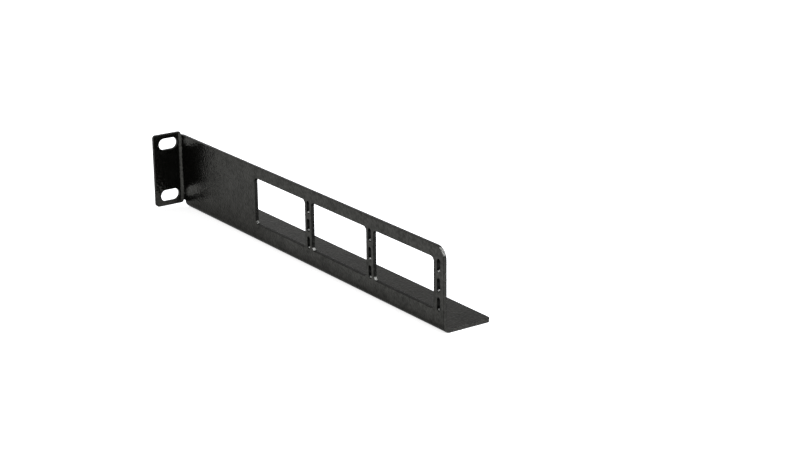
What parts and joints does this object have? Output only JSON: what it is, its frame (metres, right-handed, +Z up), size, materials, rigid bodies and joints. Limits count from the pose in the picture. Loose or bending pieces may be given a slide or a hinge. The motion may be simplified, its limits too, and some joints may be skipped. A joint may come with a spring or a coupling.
{
  "type": "rack mount ear bracket",
  "caption": "Folded steel rack ear with a slotted front flange, a long side web with windows and tie slots, and a shelf along its lower edge that carries equipment.",
  "frame": {"origin": "midway between the two rack slots, on the rear face of the ear, which bears on the rack post", "axes": "+Y runs back into the rack along the web, +X points outward along the ear, +Z is up"},
  "size_m": [0.0482, 0.266, 0.0466],
  "materials": {
    "black_powder_coat": "satin black powder coat with a fine texture on folded steel sheet"
  },
  "bodies": {
    "root": {"ear_bracket": "black_powder_coat"}
  },
  "joints": []
}
